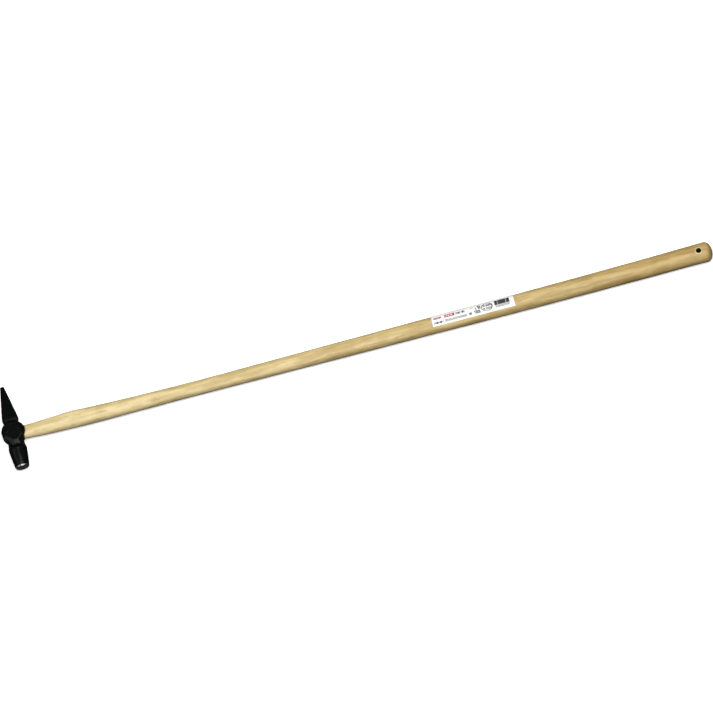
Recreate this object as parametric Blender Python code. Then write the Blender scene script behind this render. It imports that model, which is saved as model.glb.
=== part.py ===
"""Long-handled inspection hammer, lying on its side.

A small forged steel head with a round striking face and a cross peen sits on a long wooden handle.
The handle's tenon fills the head's eye and is spread by a wooden wedge and a steel cross wedge. The
grip end has a hole to hang it by, and a paper label is wrapped round the handle.

Frame: the eye's centre is above the origin, +X runs along the handle to its butt, +Y towards the
peen and -Y towards the striking face, +Z up. Z = 0 is the surface that the hammer lies on. Metres.
"""

import math

import bpy

# Driving dimensions
OVERALL_LENGTH = 0.900  # far side of the eye boss to the butt
CHEEK_THICKNESS = 0.0240  # cheek to cheek across the eye boss, and the grip's depth
AXIS_HEIGHT = CHEEK_THICKNESS / 2  # the handle's axis above the surface it lies on
GAP = 0.0003  # clearance between touching pieces

# Head
BOSS_HALF_X, BOSS_HALF_Y = 0.0149, 0.0140
BOSS_SQUARENESS = 1.8  # superellipse power of the boss's outline, a little more pointed than a circle
BOSS_CENTRE_Y = 0.0018  # the boss sits a little towards the peen from the eye's centre
CHEEK_CORNER_RADIUS = 0.0122  # corners of each cheek's eight-sided flat, inside its chamfer
CHEEK_CORNERS = (27, 64, 116, 154, 203, 260, 289, 335)  # their directions in degrees, from +X
CHAMFER_SLOPE = math.radians(35)
CHAMFER_REACH = 0.0055  # how far past the boss's outline the chamfers' planes are drawn
SHOULDER_FOOT = (0.0090, 0.0080)  # where the shoulder leaves the boss: half width, distance towards the face
SHOULDER_END = (0.0050, 0.0155)  # where it runs out on the poll's neck
POLL_STATIONS = (  # distance from the eye's centre, half width, depth against width, roundness 0 to 1
    (0.0040, 0.0101, 0.86, 0.0),
    (0.0116, 0.0101, 0.86, 0.0),
    (0.0155, 0.0107, 0.87, 0.0),
    (0.0178, 0.0112, 0.99, 0.0),
    (0.0195, 0.0116, 1.0, 0.1),
    (0.0219, 0.0113, 1.0, 0.2),
    (0.0305, 0.0104, 1.0, 0.5),
    (0.0409, 0.0091, 1.0, 0.9),
    (0.0430, 0.0086, 1.0, 1.0),
    (0.0441, 0.0080, 1.0, 1.0),
    (0.0448, 0.0071, 1.0, 1.0),
)
OCTAGON_CORNER = 1.05  # how far a softened corner stands out, against 1.082 for a sharp one
PEEN_STATIONS = (  # distance from the eye's centre, half width along X, half depth along Z
    (0.0060, 0.0084, 0.0080),
    (0.0150, 0.0084, 0.0070),
    (0.0196, 0.0101, 0.0073),
    (0.0612, 0.0024, 0.0045),
    (0.0620, 0.0018, 0.0040),
)
PEEN_CORNER = 0.22  # share of the half width that each corner's chamfer takes

# Eye and tenon: distance along X, half height along Y, half width along Z
EYE_STATIONS = (
    (-0.0200, 0.00880, 0.00720),
    (-0.0150, 0.00850, 0.00690),
    (0.0000, 0.00800, 0.00650),
    (0.0150, 0.00880, 0.00690),
    (0.0200, 0.00905, 0.00705),
)
EYE_SQUARENESS = 2.5  # superellipse power of the eye and of the tenon in it

# Handle: distance along X, height along Y, width along Z
NECK = (0.0148, 0.0170, 0.0126)
SWELL = (0.0760, 0.0222, 0.0185)
WAIST = (0.2320, 0.0181, 0.0176)
GRIP = (0.8760, 0.0254, CHEEK_THICKNESS)
BUTT_DOME = 0.0080  # length of the butt's dome
BUTT_FULLNESS = 0.95  # 1 is a full half-ellipse dome, and less leaves a flat at its middle
BOW = 0.0020  # how far the handle's natural bow leaves the straight line, towards -Y
HANG_HOLE_DIAMETER = 0.0060
HANG_HOLE_FROM_BUTT = 0.0161

# Wedges
TENON_INSET = 0.0012  # how far the end grain is dressed under the boss's outline
WOOD_WEDGE_DEPTH = 0.0200
WOOD_WEDGE_THICK, WOOD_WEDGE_THIN = 0.0030, 0.0010
STEEL_WEDGE_DEPTH = 0.0150
STEEL_WEDGE_WIDTH = 0.0088
STEEL_WEDGE_THICK, STEEL_WEDGE_THIN = 0.0022, 0.0008
STEEL_WEDGE_TURN = math.radians(22)  # turned a little off square to the wooden wedge
WEDGE_PROUD = 0.0002  # the steel wedge stands this far above the end grain at its middle

# Shapes before they are dressed, and how far the cutters run past what they cut
TENON_STATIONS = (-0.0165, -0.0100, 0.0, 0.0100)  # the tenon's cross sections along X
WOOD_WEDGE_START = -0.018
WOOD_WEDGE_HALF_HEIGHT = 0.0110
KERF_HALF_HEIGHT = 0.0130
DRESSING_FAR_X, DRESSING_HALF_HEIGHT = -0.030, 0.0120
DRESSING_STEPS = 24
DRESSING_MARGIN = 0.010
HOLE_MARGIN = 0.005

# Label
LABEL_START, LABEL_LENGTH = 0.5308, 0.1040
LABEL_WIDTH = 0.0199
LABEL_EDGE_TURN = math.radians(-28)  # its lower edge, turned from straight up towards +Y
LABEL_THICKNESS = 0.0002

BUTT_X = OVERALL_LENGTH - BOSS_HALF_X
TENON_END_X = TENON_INSET - BOSS_HALF_X
ROUND_SIDES = 32
HANDLE_SIDES = 32
SHAFT_STEP = 0.026  # spacing of the handle's cross sections along the long straight grip


# Helpers


def clear_scene():
    for obj in list(bpy.data.objects):
        bpy.data.objects.remove(obj, do_unlink=True)


def material(name, colour, roughness, metallic=0.0):
    made = bpy.data.materials.new(name)
    made.use_nodes = True
    shader = made.node_tree.nodes["Principled BSDF"]
    shader.inputs["Base Color"].default_value = (*colour, 1.0)
    shader.inputs["Roughness"].default_value = roughness
    shader.inputs["Metallic"].default_value = metallic
    return made


def add_mesh(name, vertices, faces):
    mesh = bpy.data.meshes.new(name)
    mesh.from_pydata(vertices, [], faces)
    mesh.validate()
    obj = bpy.data.objects.new(name, mesh)
    bpy.context.scene.collection.objects.link(obj)
    return obj


def loft(name, rings):
    """A closed solid through rings of equal length, each ring anticlockwise seen from the last ring."""
    sides = len(rings[0])
    vertices = [point for ring in rings for point in ring]
    faces = [tuple(reversed(range(sides)))]
    for ring in range(len(rings) - 1):
        for side in range(sides):
            here = ring * sides + side
            along = ring * sides + (side + 1) % sides
            faces.append((here, along, along + sides, here + sides))
    faces.append(tuple(range(len(vertices) - sides, len(vertices))))
    return add_mesh(name, vertices, faces)


def prism(name, outline, low, high):
    """An outline in the XY plane, anticlockwise from above, raised from low to high."""
    return loft(name, [[(x, y, z) for x, y in outline] for z in (low, high)])


def helper(obj):
    """Marks a cutter or a joined shape, which isn't a piece of the hammer itself."""
    obj.hide_render = True
    obj.display_type = "WIRE"
    return obj


def boolean(obj, operation, other):
    made = obj.modifiers.new(other.name, "BOOLEAN")
    made.operation = operation
    made.object = helper(other)
    made.solver = "EXACT"


def smooth(obj, angle=math.radians(35)):
    obj.data.shade_smooth()
    obj.data.set_sharp_from_angle(angle=angle)


def between(low, high, share):
    return low + (high - low) * share


def interpolate(stations, distance):
    """The values of a table of stations at a distance, straight between neighbours."""
    for before, after in zip(stations, stations[1:]):
        if distance <= after[0]:
            break
    share = (distance - before[0]) / (after[0] - before[0])
    return [between(low, high, share) for low, high in zip(before[1:], after[1:])]


def superellipse(angle, half_width, half_height, power):
    """The point of a squarish or pointed oval at an angle turned from its width towards its height."""
    c, s = math.cos(angle), math.sin(angle)
    reach = (abs(c) ** power + abs(s) ** power) ** (-1 / power)
    return half_width * reach * c, half_height * reach * s


def oval_ring(x, half_y, half_z, power=2.0, centre_y=0.0, sides=HANDLE_SIDES):
    ring = []
    for side in range(sides):
        y, z = superellipse(2 * math.pi * side / sides, half_y, half_z, power)
        ring.append((x, centre_y + y, AXIS_HEIGHT + z))
    return ring


# Head


def octagon_reach(angle, corner=math.inf):
    """Distance to an octagon of half width 1, flats square to the axes, with corners held in."""
    off_flat = (angle + math.pi / 8) % (math.pi / 4) - math.pi / 8
    return min(1 / math.cos(off_flat), corner)


def poll():
    """The striking end: a softened octagon that turns round towards the face."""
    rings = []
    for distance, half_width, depth, roundness in POLL_STATIONS:
        ring = []
        for side in range(ROUND_SIDES):
            angle = 2 * math.pi * side / ROUND_SIDES
            reach = half_width * between(octagon_reach(angle, OCTAGON_CORNER), 1.0, roundness)
            ring.append((reach * math.cos(angle), -distance, AXIS_HEIGHT + depth * reach * math.sin(angle)))
        rings.append(ring)
    return loft("poll_shape", rings)


def peen():
    """The cross peen: a straight-sided wedge with chamfered corners and a blunt edge along Z."""
    rings = []
    for distance, half_x, half_z in PEEN_STATIONS:
        cut = PEEN_CORNER * min(half_x, half_z)
        corners = [
            (half_x, -half_z + cut), (half_x, half_z - cut),
            (half_x - cut, half_z), (cut - half_x, half_z),
            (-half_x, half_z - cut), (-half_x, cut - half_z),
            (cut - half_x, -half_z), (half_x - cut, -half_z),
        ]  # fmt: skip
        rings.append([(x, distance, AXIS_HEIGHT + z) for x, z in reversed(corners)])
    return loft("peen_shape", rings)


def boss_edge(y, inset=0.0):
    """How far the boss's outline stands out along X at a distance along Y from its centre."""
    share = min(1.0, abs(y) / (BOSS_HALF_Y - inset))
    return (BOSS_HALF_X - inset) * (1 - share**BOSS_SQUARENESS) ** (1 / BOSS_SQUARENESS)


def boss_chamfers():
    """An eight-sided barrel: its ends are the cheeks' flats, and its sides slope out from them."""
    outer = BOSS_HALF_X + CHAMFER_REACH
    rise = (outer - CHEEK_CORNER_RADIUS) * math.tan(CHAMFER_SLOPE)
    rings = []
    for corner, z in (
        (CHEEK_CORNER_RADIUS, 0.0),
        (outer, rise),
        (outer, CHEEK_THICKNESS - rise),
        (CHEEK_CORNER_RADIUS, CHEEK_THICKNESS),
    ):
        angles = [math.radians(direction) for direction in CHEEK_CORNERS]
        rings.append([(corner * math.cos(a), BOSS_CENTRE_Y + corner * math.sin(a), z) for a in angles])
    return loft("boss_chamfer_shape", rings)


def shoulder_edge(x):
    """How far towards the face the shoulder between the boss and the poll reaches, beside its middle."""
    (foot, near), (end, far) = SHOULDER_FOOT, SHOULDER_END
    share = (abs(x) - end) / (foot - end)
    return between(far, near, min(1.0, max(0.0, share)))


def boss_outline():
    sides = 2 * ROUND_SIDES
    outline = []
    for side in range(sides):
        angle = 2 * math.pi * (side + 0.5) / sides
        x, y = superellipse(angle, BOSS_HALF_X, BOSS_HALF_Y, BOSS_SQUARENESS)
        y += BOSS_CENTRE_Y
        if y < 0 and abs(x) < SHOULDER_FOOT[0]:
            y = min(y, -shoulder_edge(x))
        outline.append((x, y))
    return outline


def eye():
    rings = [oval_ring(x, y, z, EYE_SQUARENESS) for x, y, z in EYE_STATIONS]
    return loft("eye_shape", rings)


def head(steel):
    made = prism("head", boss_outline(), 0.0, CHEEK_THICKNESS)
    boolean(made, "INTERSECT", boss_chamfers())
    boolean(made, "UNION", poll())
    boolean(made, "UNION", peen())
    boolean(made, "DIFFERENCE", eye())
    made.data.materials.append(steel)
    smooth(made)
    return made


# Handle


def handle_centre(x):
    """The bowed centre line's Y: straight through the eye, then one shallow arch to the butt."""
    if x <= NECK[0]:
        return 0.0
    share = (x - NECK[0]) / (BUTT_X - NECK[0])
    return -BOW * abs(math.sin(math.pi * share)) ** 0.6


def handle_size(x):
    """Height along Y and width along Z of the handle outside the eye, before the butt dome."""
    if x < SWELL[0]:
        share = math.sin(math.pi / 2 * (x - NECK[0]) / (SWELL[0] - NECK[0]))
        low, high = NECK, SWELL
    elif x < WAIST[0]:
        share = (x - SWELL[0]) / (WAIST[0] - SWELL[0])
        share = share * share * (3 - 2 * share)
        low, high = SWELL, WAIST
    else:
        share = min(1, (x - WAIST[0]) / (GRIP[0] - WAIST[0]))
        low, high = WAIST, GRIP
    return between(low[1], high[1], share), between(low[2], high[2], share)


def handle_stations():
    """Where the handle's cross sections stand, from the eye's mouth to the butt."""
    neck_step, swell_step = (SWELL[0] - NECK[0]) / 6, (WAIST[0] - SWELL[0]) / 8
    stations = [NECK[0] + neck_step * i for i in range(6)]
    stations += [SWELL[0] + swell_step * i for i in range(8)]
    dome_start = BUTT_X - BUTT_DOME
    count = math.ceil((dome_start - WAIST[0]) / SHAFT_STEP)
    stations += [between(WAIST[0], dome_start, i / count) for i in range(count + 1)]
    stations += [dome_start + BUTT_DOME * math.sin(math.pi / 2 * i / 5) for i in range(1, 6)]
    return stations


def handle_ring(x):
    height, width = handle_size(x)
    into_dome = max(0.0, x - (BUTT_X - BUTT_DOME)) / BUTT_DOME
    share = math.sqrt(1 - (BUTT_FULLNESS * into_dome) ** 2)
    return oval_ring(x, height / 2 * share, width / 2 * share, centre_y=handle_centre(x))


def tenon_ring(x):
    half_y, half_z = interpolate(EYE_STATIONS, x)
    return oval_ring(x, half_y - GAP, half_z - GAP, EYE_SQUARENESS)


def outside_boss_curve():
    """Everything past the boss's far side: what is left of a tenon cut by it ends in that curve."""
    far, reach = DRESSING_FAR_X, DRESSING_HALF_HEIGHT
    arc = []
    for step in range(DRESSING_STEPS + 1):
        y = between(-reach, reach, step / DRESSING_STEPS)
        arc.append((-boss_edge(y, TENON_INSET), BOSS_CENTRE_Y + y))
    outline = [(far, BOSS_CENTRE_Y + reach), (far, BOSS_CENTRE_Y - reach)] + arc
    return prism("tenon_end_shape", outline, -DRESSING_MARGIN, CHEEK_THICKNESS + DRESSING_MARGIN)


def hang_hole():
    x = BUTT_X - HANG_HOLE_FROM_BUTT
    y = handle_centre(x)
    radius = HANG_HOLE_DIAMETER / 2
    angles = [2 * math.pi * (side + 0.5) / ROUND_SIDES for side in range(ROUND_SIDES)]
    circle = [(x + radius * math.cos(a), y + radius * math.sin(a)) for a in angles]
    return prism("hang_hole_shape", circle, -HOLE_MARGIN, CHEEK_THICKNESS + HOLE_MARGIN)


def handle(wood):
    rings = [tenon_ring(x) for x in TENON_STATIONS]
    rings += [handle_ring(x) for x in handle_stations()]
    made = loft("handle", rings)
    boolean(made, "DIFFERENCE", steel_wedge_body("steel_wedge_slot_in_handle", GAP))
    boolean(made, "DIFFERENCE", wood_wedge_body("kerf_shape", GAP, KERF_HALF_HEIGHT))
    boolean(made, "DIFFERENCE", hang_hole())
    boolean(made, "DIFFERENCE", outside_boss_curve())
    made.data.materials.append(wood)
    smooth(made)
    return made


# Wedges


def wood_wedge_body(name, gap, half_height):
    """A taper along X, thick at the tenon's end, that spans half_height each way along Y."""
    start, end = WOOD_WEDGE_START, TENON_END_X + WOOD_WEDGE_DEPTH + gap
    thick, thin = WOOD_WEDGE_THICK / 2 + gap, WOOD_WEDGE_THIN / 2 + gap
    rings = []
    for y in (half_height, -half_height):
        rings.append([
            (start, y, AXIS_HEIGHT - thick), (end, y, AXIS_HEIGHT - thin),
            (end, y, AXIS_HEIGHT + thin), (start, y, AXIS_HEIGHT + thick),
        ])  # fmt: skip
    return loft(name, rings)


def wood_wedge(wood):
    """The hardwood wedge along the eye's long axis, dressed flush with the tenon's end."""
    made = wood_wedge_body("wood_wedge", 0.0, WOOD_WEDGE_HALF_HEIGHT)
    outline = [oval_ring(x, half_y - 2 * GAP, half_z, EYE_SQUARENESS) for x, half_y, half_z in EYE_STATIONS]
    boolean(made, "INTERSECT", loft("wood_wedge_outline", outline))
    trim = outside_boss_curve()
    trim.name = "wood_wedge_end_shape"
    boolean(made, "DIFFERENCE", trim)
    boolean(made, "DIFFERENCE", steel_wedge_body("steel_wedge_slot_in_wedge", GAP))
    made.data.materials.append(wood)
    return made


def steel_wedge_body(name, gap):
    """A flat steel taper along X, its width turned a little off the Z axis."""
    start = TENON_END_X - WEDGE_PROUD - 20 * gap
    end = TENON_END_X + STEEL_WEDGE_DEPTH + gap
    half_width = STEEL_WEDGE_WIDTH / 2 + gap
    c, s = math.cos(STEEL_WEDGE_TURN), math.sin(STEEL_WEDGE_TURN)
    rings = []
    for x, thickness in ((start, STEEL_WEDGE_THICK), (end, STEEL_WEDGE_THIN)):
        half = thickness / 2 + gap
        corners = ((half, -half_width), (half, half_width), (-half, half_width), (-half, -half_width))
        rings.append([(x, a * c - b * s, AXIS_HEIGHT + a * s + b * c) for a, b in corners])
    return loft(name, rings)


def steel_wedge(steel):
    made = steel_wedge_body("steel_wedge", 0.0)
    made.data.materials.append(steel)
    return made


# Label


def label(paper):
    """A thin strip bent round the handle, a gap above the wood."""
    columns, rows = 10, 12
    outer_first = []
    for lift in (GAP, GAP + LABEL_THICKNESS):
        for column in range(columns + 1):
            x = LABEL_START + LABEL_LENGTH * column / columns
            height, width = handle_size(x)
            half_y, half_z = height / 2 + lift, width / 2 + lift
            turn = LABEL_WIDTH / ((height + width) / 4)
            for row in range(rows + 1):
                angle = LABEL_EDGE_TURN + turn * row / rows
                y, z = half_y * math.sin(angle), half_z * math.cos(angle)
                outer_first.append((x, handle_centre(x) + y, AXIS_HEIGHT + z))
    per_layer = (columns + 1) * (rows + 1)

    def index(layer, column, row):
        return layer * per_layer + column * (rows + 1) + row

    faces = []
    for column in range(columns):
        for row in range(rows):
            corners = [(column, row), (column, row + 1), (column + 1, row + 1), (column + 1, row)]
            faces.append(tuple(index(0, c, r) for c, r in corners))
            faces.append(tuple(index(1, c, r) for c, r in reversed(corners)))
    edge = [(column, 0) for column in range(columns)] + [(columns, row) for row in range(rows)]
    edge += [(column, rows) for column in range(columns, 0, -1)] + [(0, row) for row in range(rows, 0, -1)]
    for here, after in zip(edge, edge[1:] + edge[:1]):
        faces.append((index(0, *here), index(0, *after), index(1, *after), index(1, *here)))
    made = add_mesh("label", outer_first, faces)
    made.data.materials.append(paper)
    smooth(made)
    return made


def main():
    clear_scene()
    head(material("black_painted_steel", (0.012, 0.013, 0.013), 0.38))
    handle(material("pale_oak", (0.62, 0.46, 0.25), 0.5))
    wood_wedge(material("wedge_wood", (0.42, 0.27, 0.13), 0.6))
    steel_wedge(material("wedge_steel", (0.35, 0.34, 0.33), 0.45, metallic=1.0))
    label(material("label_paper", (0.90, 0.90, 0.88), 0.4))


main()
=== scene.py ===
"""Looks for the long-handled inspection hammer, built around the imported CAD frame."""

import math

import bpy
from mathutils import Matrix, Vector, noise


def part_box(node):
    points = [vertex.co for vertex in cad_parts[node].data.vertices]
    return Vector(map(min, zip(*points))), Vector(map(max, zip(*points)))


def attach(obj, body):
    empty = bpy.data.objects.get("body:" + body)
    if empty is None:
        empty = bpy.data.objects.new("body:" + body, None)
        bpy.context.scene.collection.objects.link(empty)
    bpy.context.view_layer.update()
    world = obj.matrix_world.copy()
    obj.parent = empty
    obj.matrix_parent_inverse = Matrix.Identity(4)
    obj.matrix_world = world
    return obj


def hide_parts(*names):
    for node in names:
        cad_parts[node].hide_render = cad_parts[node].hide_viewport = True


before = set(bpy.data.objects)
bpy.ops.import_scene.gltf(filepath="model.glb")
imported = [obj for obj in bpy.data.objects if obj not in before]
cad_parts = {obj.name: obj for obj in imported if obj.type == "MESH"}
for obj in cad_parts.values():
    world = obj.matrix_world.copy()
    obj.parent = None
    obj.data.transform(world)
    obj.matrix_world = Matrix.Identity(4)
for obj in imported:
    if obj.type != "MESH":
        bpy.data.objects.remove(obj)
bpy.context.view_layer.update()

# View: the camera looks down on the hammer from the striking-face side, rolled so that the handle rises
VIEW_ELEVATION = math.radians(72)
VIEW_ROLL = math.radians(14.78)
VIEW_DISTANCE = 40.0
IMAGE_WIDTH_AT_HANDLE = 0.8744  # metres across the picture at the handle's distance
AIM = (0.4304, -0.0138, 0.0075)  # the spot in the picture's middle

# Shared dimensions, in metres. A squareness is the power of a superellipse: 2 is an oval
AXIS_Z = (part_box("head")[0].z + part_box("head")[1].z) / 2
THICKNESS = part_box("head")[1].z
BUTT_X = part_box("handle")[1].x
FACE_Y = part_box("head")[0].y
PEEN_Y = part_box("head")[1].y
BOSS_HALF_X, BOSS_HALF_Y = -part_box("head")[0].x, 0.0140
BOSS_SQUARENESS = 1.8
BOSS_CENTRE_Y = 0.0018
CHEEK_CORNER_RADIUS = 0.0122
CHEEK_CORNERS = (27, 64, 116, 154, 203, 260, 289, 335)  # directions of the cheek flat's corners, in degrees
CHAMFER_SLOPE = math.radians(35)
CHAMFER_REACH = 0.0055  # how far past the boss's half width the chamfers run on
SHOULDER_FOOT = (0.0090, 0.0080)  # where the shoulder leaves the boss: half width, distance towards the face
SHOULDER_END = (0.0050, 0.0155)  # where it runs out on the poll's neck
PEEN_CORNER_CUT = 0.24  # share of the peen's smaller half size that each corner loses
VOXEL_SIZE = 0.00036  # the forging's edges are rounded by a remesh and a little smoothing
SMOOTHING, SMOOTHING_STEPS = 0.5, 5
EYE_STATIONS = (
    (-0.0200, 0.00880, 0.00720),
    (-0.0150, 0.00850, 0.00690),
    (0.0000, 0.00800, 0.00650),
    (0.0150, 0.00880, 0.00690),
    (0.0200, 0.00905, 0.00705),
)
EYE_SQUARENESS = 2.5
FIT = 0.00006  # hairline between the tenon and the eye
TENON_INSET = 0.0013  # how far the tenon's end stays inside the boss's outline
TENON_END_X = TENON_INSET - BOSS_HALF_X
TENON_X = (-0.0165, -0.0100, 0.0, 0.0100)  # where the tenon's rings stand before its end is trimmed
# Slots in the tenon: thickness at its end and at the slot's foot, depth, half width, turn off the Z axis
STEEL_SLOT = (0.0024, 0.0009, 0.0153, 0.0046, math.radians(22))
KERF = (0.0034, 0.0012, 0.0203, 0.0130, math.radians(90))
CUTTER_OVERSHOOT = 0.0060  # the slots' cutters start this far outside the tenon's end
POLL_STATIONS = (  # distance from the eye's centre, half width, depth against width, 0 octagon to 1 circle
    (0.0040, 0.01010, 0.86, 0.0),
    (0.0116, 0.01010, 0.86, 0.0),
    (0.0150, 0.01055, 0.86, 0.1),
    (0.0156, 0.01070, 0.87, 0.1),
    (0.0178, 0.01125, 0.99, 0.2),
    (0.0203, 0.01155, 1.0, 0.2),
    (0.0219, 0.01125, 1.0, 0.2),
    (0.0305, 0.01045, 1.0, 0.4),
    (0.0400, 0.00930, 1.0, 0.8),
    (0.0415, 0.00905, 1.0, 0.9),
    (0.0430, 0.00870, 1.0, 1.0),
    (0.0440, 0.00800, 1.0, 1.0),
    (0.0444, 0.00720, 1.0, 1.0),
    (-FACE_Y - 0.0001, 0.00350, 1.0, 1.0),
    (-FACE_Y, 0.00050, 1.0, 1.0),
)
PEEN_STATIONS = (  # distance from the eye's centre, half width along X, half depth along Z
    (0.0060, 0.0084, 0.0080),
    (0.0150, 0.0084, 0.0069),
    (0.0197, 0.0102, 0.0072),
    (0.0614, 0.0025, 0.0045),
    (PEEN_Y, 0.0019, 0.0040),
)
HANDLE_STATIONS = (  # distance along X, height along Y, width along Z, centre's Y
    (0.0148, 0.0170, 0.0126, -0.0003),
    (0.0300, 0.0185, 0.0141, -0.0005),
    (0.0520, 0.0205, 0.0165, -0.0005),
    (0.0740, 0.0220, 0.0184, -0.0002),
    (0.0920, 0.0214, 0.0185, -0.0009),
    (0.1200, 0.0203, 0.0182, -0.0014),
    (0.1700, 0.0188, 0.0178, -0.0018),
    (0.2320, 0.0180, 0.0176, -0.0021),
    (0.3200, 0.0191, 0.0184, -0.0021),
    (0.4200, 0.0203, 0.0194, -0.0019),
    (0.5200, 0.0213, 0.0203, -0.0018),
    (0.6000, 0.0221, 0.0211, -0.0018),
    (0.7000, 0.0231, 0.0221, -0.0014),
    (0.8000, 0.0239, 0.0231, -0.0006),
    (0.8500, 0.0245, 0.0236, 0.0),
    (0.8760, 0.0252, 0.0239, 0.0002),
    (0.8900, 0.0253, 0.0239, 0.0002),
)
HANDLE_START = HANDLE_STATIONS[0][0]
HANDLE_SQUARENESS = 2.08
UNEVENNESS = 0.012  # share of its width by which the shaved handle swells and shrinks
UNEVEN_ALONG, UNEVEN_ROUND = 22, 0.8  # how quickly that changes along the handle and round it
UNEVEN_ONSET = 60  # and how quickly it sets in past the handle's start, per metre
BUTT_DOME = 0.0080
DOME_SHARE = 0.985  # the dome stops just short of a full quarter turn, which leaves a small flat
HANG_HOLE_X = BUTT_X - 0.0161
HANG_HOLE_OFFSET = 0.0006  # drilled a little off the handle's centre line
HANG_HOLE_RADIUS = 0.0030
HANG_HOLE_RIM = ((-0.0030, 0.0048), (0.0004, 0.0034), (0.0012, HANG_HOLE_RADIUS))  # depth in the wood, radius
LABEL_START, LABEL_LENGTH, LABEL_WIDTH = 0.5308, 0.1040, 0.0199
LABEL_EDGE_TURN = math.radians(-28)
LABEL_LIFT = 0.00035
LABEL_THICKNESS = 0.00012
RING_SIDES = 96
BOSS_SIDES = 160
HANG_HOLE_SIDES = 64
HANDLE_STEPS, DOME_STEPS = 400, 16
LABEL_COLUMNS, LABEL_ROWS = 260, 50

# Paint, wear and painted shade, as distances in metres between which each one fades in
GRIND_EDGE = (0.0420, 0.0424)  # from the eye's centre: bare steel starts
DULL_FACE = (0.0076, 0.0068)  # from the poll's axis: the middle of the striking face turns dull
MOUTH_EDGE = (0.0136, 0.0129)  # along X: the head's paint on the wood starts, towards the tenon, and stands in part as painted shade
MOUTH_SLANT = 0.24  # and how much further it reaches per metre towards the peen
TENON_MIDDLE = (-0.0060, -0.0040)  # along X: the tenon's end gives way to its inside
SAWN_END = (-0.0115, -0.0125)  # along X: end grain starts
PALE_TO_TAN = (0.05, 0.62)  # along X: the wood drifts from pale to tan
GRIP = (0.70, 0.79)  # along X: and darkens once more at the grip
RAW_RIM = (0.0052, 0.0040)  # from the hanging hole's axis: raw wood starts
RAW_RIM_END = (HANG_HOLE_RADIUS, 0.0034)  # and, further in, ends
BORE_PAINTED_SHADE = (0.00314, 0.00303)  # and the painted shade down the bore starts
PAINT_AND_PAINTED_SHADE = (0.004, 0.0045, 0.0045)  # the head's black paint where it lies thinly on wood, also painted shade in the eye's mouth and round the recessed tenon's end

# Lights: size, power in watts, lean towards the peen and towards the butt in degrees, X that they stand over
MIDDLE_X = 0.43
LAMPS = {  # these shade the surfaces, and no reflection shows them
    "key": ((3.0, 1.2), 88, -6, 0, MIDDLE_X),
    "back": ((3.0, 1.0), 9, 58, 0, MIDDLE_X),
}
CARDS = {  # these show as reflections, and shade nothing
    "top_card": ((3.0, 1.5), 84, -11, 0, MIDDLE_X),
    "front_card": ((1.2, 0.5), 18, -54, 16, 0.0),
    "side_card": ((1.3, 1.2), 15, -46, -54, 0.0),
    "left_card": ((1.2, 0.7), 5.5, 18, -50, 0.0),
}
LIGHT_DISTANCE = 2.5
WORLD_STRENGTH = 0.05
FLOOR_GLOW = 0.45


# Mesh helpers


def add_mesh(name, vertices, faces):
    mesh = bpy.data.meshes.new(name)
    mesh.from_pydata(vertices, [], faces)
    mesh.validate()
    obj = bpy.data.objects.new(name, mesh)
    bpy.context.scene.collection.objects.link(obj)
    return obj


def loft(name, rings):
    """A closed skin over a row of rings that have as many points each."""
    sides = len(rings[0])
    vertices = [point for ring in rings for point in ring]
    faces = [tuple(reversed(range(sides)))]
    for ring in range(len(rings) - 1):
        for side in range(sides):
            here, along = ring * sides + side, ring * sides + (side + 1) % sides
            faces.append((here, along, along + sides, here + sides))
    faces.append(tuple(range(len(vertices) - sides, len(vertices))))
    return add_mesh(name, vertices, faces)


def boolean(obj, operation, other):
    made = obj.modifiers.new(other.name, "BOOLEAN")
    made.operation, made.object, made.solver = operation, other, "EXACT"


def settle(obj):
    """Applies every modifier and removes the shapes that they used."""
    helpers = [modifier.object for modifier in obj.modifiers if modifier.type == "BOOLEAN"]
    graph = bpy.context.evaluated_depsgraph_get()
    mesh = bpy.data.meshes.new_from_object(obj.evaluated_get(graph))
    obj.modifiers.clear()
    obj.data = mesh
    for other in helpers:
        bpy.data.objects.remove(other, do_unlink=True)


def smooth(obj, sharp_from):
    """Shades smoothly, except over edges that turn by more than sharp_from degrees."""
    obj.data.shade_smooth()
    obj.data.set_sharp_from_angle(angle=math.radians(sharp_from))


def between(low, high, share):
    return low + (high - low) * share


def straight(stations, distance):
    """The values of a table of stations at a distance, on straight lines between its rows."""
    for before, after in zip(stations, stations[1:]):
        if distance <= after[0]:
            break
    share = (distance - before[0]) / (after[0] - before[0])
    return [between(low, high, share) for low, high in zip(before[1:], after[1:])]


def curved(stations, distance):
    """The values of a table of stations at a distance, on a smooth curve through its rows."""
    last = len(stations) - 1
    at = next((i for i in range(last) if distance <= stations[i + 1][0]), last - 1)
    a, b = stations[at], stations[at + 1]
    before, after = stations[max(at - 1, 0)], stations[min(at + 2, last)]
    span = b[0] - a[0]
    t = (distance - a[0]) / span
    values = []
    for column in range(1, len(a)):
        slope_a = (b[column] - before[column]) / (b[0] - before[0]) * span
        slope_b = (after[column] - a[column]) / (after[0] - a[0]) * span
        values.append(
            (2 * t**3 - 3 * t**2 + 1) * a[column] + (t**3 - 2 * t**2 + t) * slope_a
            + (3 * t**2 - 2 * t**3) * b[column] + (t**3 - t**2) * slope_b
        )
    return values


def superellipse(angle, half_width, half_height, squareness):
    c, s = math.cos(angle), math.sin(angle)
    reach = (abs(c) ** squareness + abs(s) ** squareness) ** (-1 / squareness)
    return half_width * reach * c, half_height * reach * s


# Head


def octagon_reach(angle):
    """Distance to an octagon with softened corners, which stand on the axes at distance 1."""
    off_flat = angle % (math.pi / 4) - math.pi / 8
    soft_corner = 1.06  # against flats at 1
    return min(1 / math.cos(off_flat), soft_corner) / soft_corner


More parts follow.
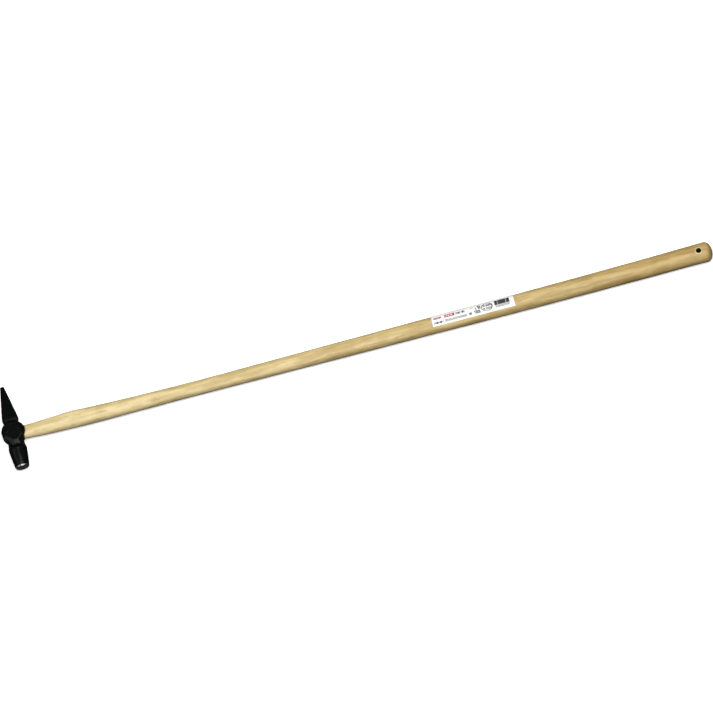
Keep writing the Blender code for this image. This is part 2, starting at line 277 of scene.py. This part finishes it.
def poll():
    rings = []
    for distance, half_width, depth, roundness in POLL_STATIONS:
        ring = []
        for side in range(RING_SIDES):
            angle = 2 * math.pi * side / RING_SIDES
            reach = half_width * between(octagon_reach(angle), 1.0, roundness)
            ring.append((reach * math.cos(angle), -distance, AXIS_Z + depth * reach * math.sin(angle)))
        rings.append(ring)
    return loft("poll_shape", rings)


def peen():
    rings = []
    for distance, half_x, half_z in PEEN_STATIONS:
        cut = PEEN_CORNER_CUT * min(half_x, half_z)
        in_x, in_z = half_x - cut, half_z - cut
        corners = [
            (half_x, -in_z), (half_x, in_z), (in_x, half_z), (-in_x, half_z),
            (-half_x, in_z), (-half_x, -in_z), (-in_x, -half_z), (in_x, -half_z),
        ]
        rings.append([(x, distance, AXIS_Z + z) for x, z in reversed(corners)])
    return loft("peen_shape", rings)


def boss_edge(y, inset):
    """Half width of the boss's outline, drawn in by an inset, at a height y."""
    share = min(1.0, abs(y) / (BOSS_HALF_Y - inset))
    return (BOSS_HALF_X - inset) * (1 - share**BOSS_SQUARENESS) ** (1 / BOSS_SQUARENESS)


def boss_chamfers():
    """A block that is as wide as the cheek's flat at both cheeks and widens between them."""
    outer = BOSS_HALF_X + CHAMFER_REACH
    rise = (outer - CHEEK_CORNER_RADIUS) * math.tan(CHAMFER_SLOPE)
    angles = [math.radians(direction) for direction in CHEEK_CORNERS]
    inner = CHEEK_CORNER_RADIUS
    rings = []
    for corner, z in ((inner, 0.0), (outer, rise), (outer, THICKNESS - rise), (inner, THICKNESS)):
        rings.append([(corner * math.cos(a), BOSS_CENTRE_Y + corner * math.sin(a), z) for a in angles])
    return loft("boss_chamfer_shape", rings)


def shoulder_edge(x):
    """How far towards the face the shoulder between the boss and the poll reaches, beside its middle."""
    (foot, near), (end, far) = SHOULDER_FOOT, SHOULDER_END
    share = (abs(x) - end) / (foot - end)
    return between(far, near, min(1.0, max(0.0, share)))


def boss_outline():
    outline = []
    for side in range(BOSS_SIDES):
        angle = 2 * math.pi * (side + 0.5) / BOSS_SIDES
        x, y = superellipse(angle, BOSS_HALF_X, BOSS_HALF_Y, BOSS_SQUARENESS)
        y += BOSS_CENTRE_Y
        if y < 0 and abs(x) < SHOULDER_FOOT[0]:
            y = min(y, -shoulder_edge(x))
        outline.append((x, y))
    return outline


def eye_ring(x, half_y, half_z):
    angles = [2 * math.pi * side / RING_SIDES for side in range(RING_SIDES)]
    points = [superellipse(angle, half_y, half_z, EYE_SQUARENESS) for angle in angles]
    return [(x, y, AXIS_Z + z) for y, z in points]


def head():
    made = loft("head_forging", [[(x, y, z) for x, y in boss_outline()] for z in (0.0, THICKNESS)])
    boolean(made, "INTERSECT", boss_chamfers())
    boolean(made, "UNION", poll())
    boolean(made, "UNION", peen())
    settle(made)
    remesh = made.modifiers.new("remesh", "REMESH")
    remesh.mode, remesh.voxel_size = "VOXEL", VOXEL_SIZE
    soften = made.modifiers.new("soften", "SMOOTH")
    soften.factor, soften.iterations = SMOOTHING, SMOOTHING_STEPS
    settle(made)
    boolean(made, "DIFFERENCE", loft("eye_shape", [eye_ring(*station) for station in EYE_STATIONS]))
    settle(made)
    smooth(made, 40)
    return made


# Handle


def handle_ring(x):
    height, width, centre = curved(HANDLE_STATIONS, x)
    into_dome = max(0.0, x - (BUTT_X - BUTT_DOME)) / BUTT_DOME
    share = math.sqrt(max(0.0, 1 - (DOME_SHARE * into_dome) ** 2))
    uneven = UNEVENNESS * min(1.0, (x - HANDLE_START) * UNEVEN_ONSET)
    ring = []
    for side in range(RING_SIDES):
        angle = 2 * math.pi * side / RING_SIDES
        y, z = superellipse(angle, height / 2 * share, width / 2 * share, HANDLE_SQUARENESS)
        round_y, round_z = math.cos(angle) * UNEVEN_ROUND, math.sin(angle) * UNEVEN_ROUND
        swell = 1 + uneven * noise.noise(Vector((x * UNEVEN_ALONG, round_y, round_z)))
        ring.append((x, centre + y * swell, AXIS_Z + max(z * swell, -AXIS_Z)))
    return ring


def outside_boss_curve():
    """The block that trims the tenon's end to the boss's outline."""
    reach, steps, outside_x, margin = 0.0120, 48, -0.030, 0.010
    outline = [(outside_x, BOSS_CENTRE_Y + reach), (outside_x, BOSS_CENTRE_Y - reach)]
    for step in range(steps + 1):
        y = between(-reach, reach, step / steps)
        outline.append((-boss_edge(y, TENON_INSET), BOSS_CENTRE_Y + y))
    return loft("tenon_end_shape", [[(x, y, z) for x, y in outline] for z in (-margin, THICKNESS + margin)])


def wedge_slot(name, thick, thin, depth, half_width, turn):
    """A taper along X, its width turned off the Z axis."""
    start, end = TENON_END_X - CUTTER_OVERSHOOT, TENON_END_X + depth
    c, s = math.cos(turn), math.sin(turn)
    rings = []
    for x, half in ((start, thick / 2), (end, thin / 2)):
        corners = ((half, -half_width), (half, half_width), (-half, half_width), (-half, -half_width))
        rings.append([(x, a * c - b * s, AXIS_Z + a * s + b * c) for a, b in corners])
    return loft(name, rings)


def hang_hole_y():
    return curved(HANDLE_STATIONS, HANG_HOLE_X)[2] + HANG_HOLE_OFFSET


def hang_hole():
    """The bore's cutter, which flares at both cheeks to soften the rims."""
    angles = [2 * math.pi * (side + 0.5) / HANG_HOLE_SIDES for side in range(HANG_HOLE_SIDES)]
    circle = [(math.cos(angle), math.sin(angle)) for angle in angles]
    centre_y = hang_hole_y()
    profile = list(HANG_HOLE_RIM) + [(THICKNESS - depth, radius) for depth, radius in reversed(HANG_HOLE_RIM)]
    rings = []
    for z, radius in profile:
        rings.append([(HANG_HOLE_X + radius * c, centre_y + radius * s, z) for c, s in circle])
    return loft("hang_hole_shape", rings)


def handle():
    rings = []
    for x in TENON_X:
        half_y, half_z = straight(EYE_STATIONS, x)
        rings.append(eye_ring(x, half_y - FIT, half_z - FIT))
    dome = BUTT_X - BUTT_DOME
    for step in range(HANDLE_STEPS):
        rings.append(handle_ring(between(HANDLE_START, dome, step / HANDLE_STEPS)))
    for step in range(DOME_STEPS + 1):
        rings.append(handle_ring(dome + BUTT_DOME * math.sin(math.pi / 2 * step / DOME_STEPS)))
    made = loft("handle_wood", rings)
    boolean(made, "DIFFERENCE", wedge_slot("steel_slot", *STEEL_SLOT))
    boolean(made, "DIFFERENCE", wedge_slot("kerf", *KERF))
    boolean(made, "DIFFERENCE", hang_hole())
    boolean(made, "DIFFERENCE", outside_boss_curve())
    settle(made)
    smooth(made, 38)
    return made


# Label: s is measured from its left end and t round the handle from its lower edge, in millimetres


PAPER, BLACK, RED, GREY = range(4)  # the label's materials, in order


def in_box(s, t, left, right, low, high):
    return left <= s <= right and low <= t <= high


def greeked(s, pitch, gap, seed):
    """True where a row of made-up words has a stroke."""
    cell = int(s / pitch)
    word_gap = (cell * 7 + seed * 5 + cell * cell * 3) % 11 == 0
    return s % pitch > gap and not word_gap


def printed_lines(s, t):
    """Ink of the rows of dashes and of the plain blocks on the label's left half, or None off them."""
    if in_box(s, t, 1.8, 13.2, 7.9, 10.9) and greeked(s, 1.5, 0.35, 1):
        return RED if int(s / 1.5) % 3 else BLACK
    if in_box(s, t, 16.2, 28.6, 7.6, 11.4):
        inner = in_box(s, t, 17.4, 27.6, 8.7, 10.2) and greeked(s, 2.2, 1.1, 2)
        return PAPER if inner else RED
    if in_box(s, t, 30.6, 41.5, 8.0, 10.9) and greeked(s, 1.3, 0.35, 3):
        return BLACK if s > 38.6 else GREY
    if in_box(s, t, 1.8, 14.0, 2.5, 4.7) and greeked(s, 1.1, 0.2, 4):
        return BLACK
    if in_box(s, t, 15.5, 43.5, 2.3, 5.1) and greeked(s, 1.2, 0.25, 5):
        return BLACK if s < 19.0 or s > 36.0 else GREY
    return None


def printed_marks(s, t):
    """Ink of the small meaningless marks and of the plain oval in the label's middle, or None off them."""
    if in_box(s, t, 46.5, 49.8, 2.6, 5.6):
        return GREY if greeked(s + t, 0.8, 0.3, 6) else BLACK
    if in_box(s, t, 48.6, 53.2, 10.4, 11.1):
        return GREY
    if in_box(s, t, 55.2, 61.6, 7.2, 12.2):
        return BLACK if greeked(s + 0.3 * t, 1.9, 0.4, 7) else PAPER
    if in_box(s, t, 51.6, 60.6, 2.2, 6.4):
        return BLACK if greeked(s + 0.5 * t, 1.5, 0.35, 8) else PAPER
    oval = ((s - 69.6) / 7.4) ** 2 + ((t - 7.6) / 5.2) ** 2
    if 0.70 < oval < 1.0:
        return GREY if s < 72 else BLACK
    if oval <= 0.66 and (3.9 < t < 6.6 or 7.9 < t < 10.9) and greeked(s, 1.4, 0.35, 9):
        return BLACK if t > 8 else GREY
    return None


def printed_bars(s, t):
    """Ink of the bars at the label's right end and of the row of dashes under them, or None off them."""
    if in_box(s, t, 79.8, 98.4, 6.2, 13.2):
        bar = int(s * 2.4)
        if (bar * bar * 5 + bar * 3) % 7 in (0, 2, 4, 5) or s > 96.2:
            return BLACK
        return GREY if (bar * 3) % 5 else PAPER
    if in_box(s, t, 80.2, 98.0, 3.0, 6.0) and greeked(s, 1.2, 0.35, 10):
        return GREY
    return None


def ink_at(s, t):
    for ink in (printed_lines(s, t), printed_marks(s, t), printed_bars(s, t)):
        if ink is not None:
            return ink
    return PAPER


def label():
    """A curved sheet, with the ink of each of its faces."""
    columns, rows = LABEL_COLUMNS, LABEL_ROWS
    length_mm, width_mm = 1000 * LABEL_LENGTH, 1000 * LABEL_WIDTH
    points, faces, inks = [], [], []
    for lift in (LABEL_LIFT, LABEL_LIFT + LABEL_THICKNESS):
        for column in range(columns + 1):
            x = LABEL_START + LABEL_LENGTH * column / columns
            height, width, centre = curved(HANDLE_STATIONS, x)
            half_y, half_z = height / 2 + lift, width / 2 + lift
            turn = LABEL_WIDTH / ((height + width) / 4)
            for row in range(rows + 1):
                angle = LABEL_EDGE_TURN + turn * row / rows
                points.append((x, centre + half_y * math.sin(angle), AXIS_Z + half_z * math.cos(angle)))
    per_layer = (columns + 1) * (rows + 1)

    def index(layer, column, row):
        return layer * per_layer + column * (rows + 1) + row

    for column in range(columns):
        for row in range(rows):
            corners = [(column, row), (column, row + 1), (column + 1, row + 1), (column + 1, row)]
            faces.append(tuple(index(0, c, r) for c, r in corners))
            faces.append(tuple(index(1, c, r) for c, r in reversed(corners)))
            s, t = (column + 0.5) * length_mm / columns, (row + 0.5) * width_mm / rows
            inks += [PAPER, ink_at(s, t)]
    edge = [(column, 0) for column in range(columns)] + [(columns, row) for row in range(rows)]
    edge += [(column, rows) for column in range(columns, 0, -1)] + [(0, row) for row in range(rows, 0, -1)]
    for here, after in zip(edge, edge[1:] + edge[:1]):
        faces.append((index(0, *here), index(0, *after), index(1, *after), index(1, *here)))
        inks.append(PAPER)
    made = add_mesh("label_print", points, faces)
    smooth(made, 60)
    return made, inks


# Materials: a noise's scale is its cycles per metre, and a colour is linear red, green and blue


class Nodes:
    """Short calls for building one material."""

    def __init__(self, name, roughness, metallic=0.0, specular=0.5):
        self.material = bpy.data.materials.new(name)
        self.material.use_nodes = True
        self.tree = self.material.node_tree
        self.shader = self.tree.nodes["Principled BSDF"]
        self.shader.inputs["Roughness"].default_value = roughness
        self.shader.inputs["Metallic"].default_value = metallic
        self.shader.inputs["Specular IOR Level"].default_value = specular
        self.place = self.tree.nodes.new("ShaderNodeTexCoord").outputs["Object"]

    def node(self, kind, inputs=(), **settings):
        made = self.tree.nodes.new(kind)
        for key, value in settings.items():
            setattr(made, key, value)
        for key, value in dict(inputs).items():
            self.put(made.inputs[key], value)
        return made

    def put(self, socket, value):
        if isinstance(value, bpy.types.NodeSocket):
            self.tree.links.new(value, socket)
        else:
            socket.default_value = value

    def maths(self, operation, *values, clamp=False):
        made = self.node("ShaderNodeMath", enumerate(values), operation=operation, use_clamp=clamp)
        return made.outputs[0]

    def plus(self, a, b, clamp=False):
        return self.maths("ADD", a, b, clamp=clamp)

    def times(self, a, b):
        return self.maths("MULTIPLY", a, b)

    def wobble(self, value, amount):
        """A noise turned into a swing to either side of nought."""
        return self.times(self.maths("SUBTRACT", value, 0.5), amount)

    def stretched(self, scale, offset=(0, 0, 0)):
        made = self.node("ShaderNodeMapping", {"Vector": self.place, "Scale": scale, "Location": offset})
        return made.outputs[0]

    def distance(self, scale, offset):
        """How far from a point or a line: scale weighs the axes, and offset brings the zero there."""
        made = self.node("ShaderNodeVectorMath", {0: self.stretched(scale, offset)}, operation="LENGTH")
        return made.outputs["Value"]

    def noise(self, vector, scale, detail=4.0, roughness=0.55):
        inputs = {"Vector": vector, "Scale": scale, "Detail": detail, "Roughness": roughness}
        return self.node("ShaderNodeTexNoise", inputs).outputs[0]

    def remap(self, value, low, high, to_low=0.0, to_high=1.0):
        inputs = {"Value": value, "From Min": low, "From Max": high, "To Min": to_low, "To Max": to_high}
        return self.node("ShaderNodeMapRange", inputs).outputs[0]

    def blend(self, share, low, high):
        made = self.node("ShaderNodeMix", data_type="RGBA")
        self.put(made.inputs["Factor"], share)
        for socket, value in ((made.inputs[6], low), (made.inputs[7], high)):
            self.put(socket, value if isinstance(value, bpy.types.NodeSocket) else (*value, 1.0))
        return made.outputs[2]

    def axis(self, name):
        return self.node("ShaderNodeSeparateXYZ", {"Vector": self.place}).outputs[name]

    def finish(self, colour, roughness=None, height=None, strength=0.3, distance=0.0004):
        self.put(self.shader.inputs["Base Color"], colour)
        if roughness is not None:
            self.put(self.shader.inputs["Roughness"], roughness)
        if height is not None:
            bump = self.node("ShaderNodeBump", {"Height": height, "Strength": strength, "Distance": distance})
            self.put(self.shader.inputs["Normal"], bump.outputs[0])
        return self.material


def paint_material():
    """Black enamel over the forging, ground off round the striking face and rubbed along the edges."""
    n = Nodes("black_enamel", 0.28, specular=0.085)
    broad = n.noise(n.place, 90.0, 3.0)
    fine = n.noise(n.place, 1400.0, 3.0)
    patch = n.noise(n.place, 350.0, 5.0, 0.6)
    from_eye = n.times(n.axis("Y"), -1.0)
    ground = n.remap(n.plus(from_eye, n.wobble(patch, 0.0022)), *GRIND_EDGE)
    edges = n.node("ShaderNodeNewGeometry").outputs["Pointiness"]
    rubbed = n.times(n.remap(edges, 0.53, 0.60), n.remap(patch, 0.52, 0.68))
    bare = n.maths("MAXIMUM", ground, n.times(rubbed, 0.5))
    black = n.blend(broad, (0.0012, 0.0015, 0.0014), (0.0034, 0.0040, 0.0038))
    scratches = n.noise(n.stretched((60, 900, 900)), 1.0, 3.0)
    bright = n.blend(scratches, (0.17, 0.17, 0.165), (0.30, 0.30, 0.29))
    dull = n.blend(patch, (0.19, 0.19, 0.185), (0.34, 0.34, 0.33))
    steel = n.blend(n.remap(n.distance((1, 0, 1), (0, 0, -AXIS_Z)), *DULL_FACE), bright, dull)
    n.put(n.shader.inputs["Metallic"], bare)
    rough = n.plus(n.remap(patch, 0.3, 0.7, 0.19, 0.29), n.times(ground, 0.06))
    height = n.plus(n.times(fine, 0.25), n.noise(n.place, 260.0, 2.0))
    return n.finish(n.blend(bare, black, steel), rough, height, 0.25, 0.0003)


def wood_grain(n, cloud, streak, pore):
    """Growth rings round a far pith, streaks, pores and flecks, from pale at the head to tan at the grip."""
    along = n.axis("X")
    warp = n.noise(n.stretched((3.5, 30, 30)), 1.0, 3.0)
    from_pith = n.plus(n.distance((0.02, 1, 1), (0, 0.031, -0.055)), n.times(warp, 0.006))
    rings = n.remap(n.maths("SINE", n.times(from_pith, 1500.0)), -1.0, 1.0)
    fleck = n.remap(n.noise(n.stretched((48, 240, 240)), 1.0, 2.0), 0.60, 0.70)
    figure = n.noise(n.stretched((34, 150, 150), (3.0, 0, 0)), 1.0, 3.0)
    drift, at_grip = n.remap(along, *PALE_TO_TAN), n.remap(along, *GRIP)
    pale = n.blend(drift, (0.77, 0.635, 0.335), (0.60, 0.455, 0.192))
    pale = n.blend(at_grip, pale, (0.52, 0.372, 0.142))
    tan = n.blend(drift, (0.60, 0.463, 0.215), (0.43, 0.300, 0.105))
    tan = n.blend(at_grip, tan, (0.375, 0.246, 0.078))
    share = n.plus(n.times(rings, 0.35), n.remap(streak, 0.3, 0.7, -0.10, 0.62))
    share = n.plus(share, n.remap(figure, 0.35, 0.65, -0.45, 0.45))
    share = n.plus(share, n.remap(cloud, 0.35, 0.65, -0.30, 0.40), clamp=True)
    wood = n.blend(share, pale, tan)
    wood = n.blend(n.times(pore, 0.35), wood, (0.30, 0.19, 0.08))
    wood = n.blend(n.times(fleck, 0.44), wood, (0.34, 0.22, 0.10))
    return n.blend(n.times(n.remap(along, *SAWN_END), 0.45), wood, (0.36, 0.24, 0.12))


def paint_and_painted_shade(n, wood, ragged):
    """The head's paint on the wood, which is also painted shade: in the eye's mouth, down into the eye and
    round the tenon's end.
    """
    along = n.axis("X")
    slanted = n.maths("SUBTRACT", along, n.times(n.axis("Y"), MOUTH_SLANT))
    in_mouth = n.remap(n.plus(slanted, ragged), *MOUTH_EDGE)
    inside = n.times(in_mouth, n.remap(along, *TENON_MIDDLE))
    per_y, per_z = 125, 150  # brings the tenon's oval rim to a distance of about 1
    from_middle = n.distance((0, per_y, per_z), (0, 0, -per_z * AXIS_Z))
    rim = n.remap(n.plus(from_middle, n.times(ragged, 60)), 0.60, 0.70)
    at_end = n.times(rim, n.remap(along, *reversed(TENON_MIDDLE)))
    # black paint that also stands as painted shade in the eye's mouth and in the recess round the tenon's end
    return n.blend(n.maths("MAXIMUM", at_end, inside), wood, PAINT_AND_PAINTED_SHADE)


def drilled(n, wood, ragged):
    """Raw wood round the hanging hole's rim, and painted shade down the bore."""
    from_hole = n.distance((1, 1, 0), (-HANG_HOLE_X, -hang_hole_y(), 0))
    from_hole = n.plus(from_hole, n.times(ragged, 0.15))
    raw_rim = n.times(n.remap(from_hole, *RAW_RIM), n.remap(from_hole, *RAW_RIM_END))
    wood = n.blend(n.times(raw_rim, 0.45), wood, (0.80, 0.68, 0.38))
    # near-black painted shade down the inside of the hanging hole
    return n.blend(n.remap(from_hole, *BORE_PAINTED_SHADE), wood, (0.030, 0.018, 0.009))


def wood_material():
    """Pale wood, painted where it meets the head and raw round the hanging hole."""
    n = Nodes("pale_wood", 0.5, specular=0.35)
    cloud = n.noise(n.stretched((16, 60, 60)), 1.0, 3.0)
    streak = n.noise(n.stretched((9, 420, 420)), 1.0, 5.0, 0.6)
    pore = n.remap(n.noise(n.stretched((170, 2600, 2600)), 1.0, 2.0), 0.60, 0.70)
    ragged = n.wobble(cloud, 0.004)
    wood = drilled(n, paint_and_painted_shade(n, wood_grain(n, cloud, streak, pore), ragged), ragged)
    rough = n.remap(streak, 0.3, 0.7, 0.42, 0.60)
    height = n.plus(n.times(pore, -0.5), n.times(streak, 0.6))
    return n.finish(wood, rough, height, 0.22, 0.0002)


def wedge_wood_material():
    """Darker, streaked wood, with the head's paint, which is also painted shade, at both ends of the kerf."""
    n = Nodes("wedge_beech", 0.6, specular=0.3)
    streak = n.noise(n.stretched((30, 900, 1500)), 1.0, 4.0)
    speck = n.remap(n.noise(n.place, 2500.0, 2.0), 0.58, 0.68)
    wood = n.blend(n.remap(streak, 0.3, 0.7), (0.47, 0.29, 0.14), (0.30, 0.17, 0.075))
    wood = n.blend(n.times(speck, 0.5), wood, (0.14, 0.08, 0.035))
    from_middle = n.plus(n.maths("ABSOLUTE", n.axis("Y")), n.times(streak, 0.001))
    # black paint that also stands as painted shade at the wedge's ends in the recess
    wood = n.blend(n.remap(from_middle, 0.0040, 0.0050), wood, PAINT_AND_PAINTED_SHADE)
    return n.finish(wood, n.remap(streak, 0.3, 0.7, 0.5, 0.7), streak, 0.4, 0.0002)


def wedge_steel_material():
    """Rough steel with spots of rust."""
    n = Nodes("wedge_steel", 0.4, metallic=1.0)
    patch = n.noise(n.place, 500.0, 5.0, 0.65)
    rust = n.remap(n.noise(n.place, 900.0, 4.0), 0.56, 0.68)
    steel = n.blend(patch, (0.22, 0.215, 0.21), (0.50, 0.49, 0.48))
    steel = n.blend(n.times(rust, 0.5), steel, (0.20, 0.09, 0.04))
    return n.finish(steel, n.remap(patch, 0.3, 0.7, 0.3, 0.6), patch, 0.4, 0.0002)


def paper_material():
    """White label paper with a little grime."""
    n = Nodes("label_paper", 0.35, specular=0.4)
    fibre = n.noise(n.stretched((900, 2400, 2400)), 1.0, 4.0)
    grime = n.remap(n.noise(n.place, 70.0, 4.0), 0.35, 0.75)
    paper = n.blend(n.times(grime, 0.35), (0.93, 0.93, 0.92), (0.84, 0.83, 0.80))
    return n.finish(paper, n.remap(fibre, 0.3, 0.7, 0.30, 0.42), fibre, 0.1, 0.00005)


def ink_material(name, colour, faded):
    """Ink that has faded in patches."""
    n = Nodes(name, 0.4, specular=0.35)
    patch = n.noise(n.place, 1800.0, 3.0)
    return n.finish(n.blend(n.remap(patch, 0.35, 0.8), colour, faded), n.remap(patch, 0.3, 0.7, 0.35, 0.5))


def floor_material():
    """White paper that glows a little, which keeps it white all over."""
    n = Nodes("floor_paper", 0.9, specular=0.1)
    n.shader.inputs["Emission Color"].default_value = (1, 1, 1, 1)
    n.shader.inputs["Emission Strength"].default_value = FLOOR_GLOW
    return n.finish(n.blend(n.noise(n.place, 3.0, 2.0), (0.90, 0.90, 0.90), (0.92, 0.92, 0.915)))


# Stage


def camera():
    """A long lens from far away, so that there is hardly any perspective."""
    lens = bpy.data.cameras.new("camera")
    eye = bpy.data.objects.new("camera", lens)
    bpy.context.scene.collection.objects.link(eye)
    back = Vector((0, -math.cos(VIEW_ELEVATION), math.sin(VIEW_ELEVATION)))
    upright = Vector((0, math.sin(VIEW_ELEVATION), math.cos(VIEW_ELEVATION)))
    turn = Matrix((Vector((1, 0, 0)), upright, back)).transposed().to_4x4()
    place = Matrix.Translation(Vector(AIM) + back * VIEW_DISTANCE)
    eye.matrix_world = place @ turn @ Matrix.Rotation(-VIEW_ROLL, 4, "Z")
    lens.sensor_width = 36
    lens.lens = lens.sensor_width * VIEW_DISTANCE / IMAGE_WIDTH_AT_HANDLE
    lens.clip_start, lens.clip_end = 0.05, 200
    bpy.context.scene.camera = eye


def area_light(name, size, power, to_peen, to_butt, over):
    """A soft box that looks at a spot on the X axis, leaning off the upright by two angles in degrees."""
    light = bpy.data.lights.new(name, "AREA")
    light.shape = "RECTANGLE"
    light.size, light.size_y = size
    light.energy = power
    lamp = bpy.data.objects.new(name, light)
    bpy.context.scene.collection.objects.link(lamp)
    way = Vector((math.tan(math.radians(to_butt)), math.tan(math.radians(to_peen)), 1)).normalized()
    lamp.location = Vector((over, 0, 0)) + way * LIGHT_DISTANCE
    lamp.rotation_euler = way.to_track_quat("Z", "Y").to_euler()
    return lamp


def studio():
    for name, settings in LAMPS.items():
        area_light(name, *settings).visible_glossy = False
    for name, settings in CARDS.items():
        area_light(name, *settings).visible_diffuse = False
    world = bpy.data.worlds.new("studio")
    bpy.context.scene.world = world
    world.use_nodes = True
    background = world.node_tree.nodes["Background"]
    background.inputs["Color"].default_value = (1, 1, 1, 1)
    background.inputs["Strength"].default_value = WORLD_STRENGTH
    bpy.context.scene.view_settings.view_transform = "Standard"
    floor = add_mesh("floor", [(-9, -9, 0), (10, -9, 0), (10, 9, 0), (-9, 9, 0)], [(0, 1, 2, 3)])
    floor.data.materials.append(floor_material())
    floor.visible_glossy = False
    floor.visible_diffuse = False


def ride(piece, node):
    """Says which body a piece moves with, and hides the CAD node that it stands for."""
    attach(piece, "root")
    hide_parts(node)


def main():
    camera()
    studio()
    forging = head()
    forging.data.materials.clear()
    forging.data.materials.append(paint_material())
    ride(forging, "head")
    stick = handle()
    stick.data.materials.clear()
    stick.data.materials.append(wood_material())
    ride(stick, "handle")
    sticker, inks = label()
    for made in (
        paper_material(),
        ink_material("ink_black", (0.012, 0.012, 0.013), (0.05, 0.05, 0.05)),
        ink_material("ink_red", (0.44, 0.024, 0.028), (0.54, 0.08, 0.08)),
        ink_material("ink_grey", (0.09, 0.09, 0.10), (0.18, 0.18, 0.19)),
    ):
        sticker.data.materials.append(made)
    for polygon, ink in zip(sticker.data.polygons, inks):
        polygon.material_index = ink
    ride(sticker, "label")
    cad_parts["wood_wedge"].material_slots[0].material = wedge_wood_material()
    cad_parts["steel_wedge"].material_slots[0].material = wedge_steel_material()


main()
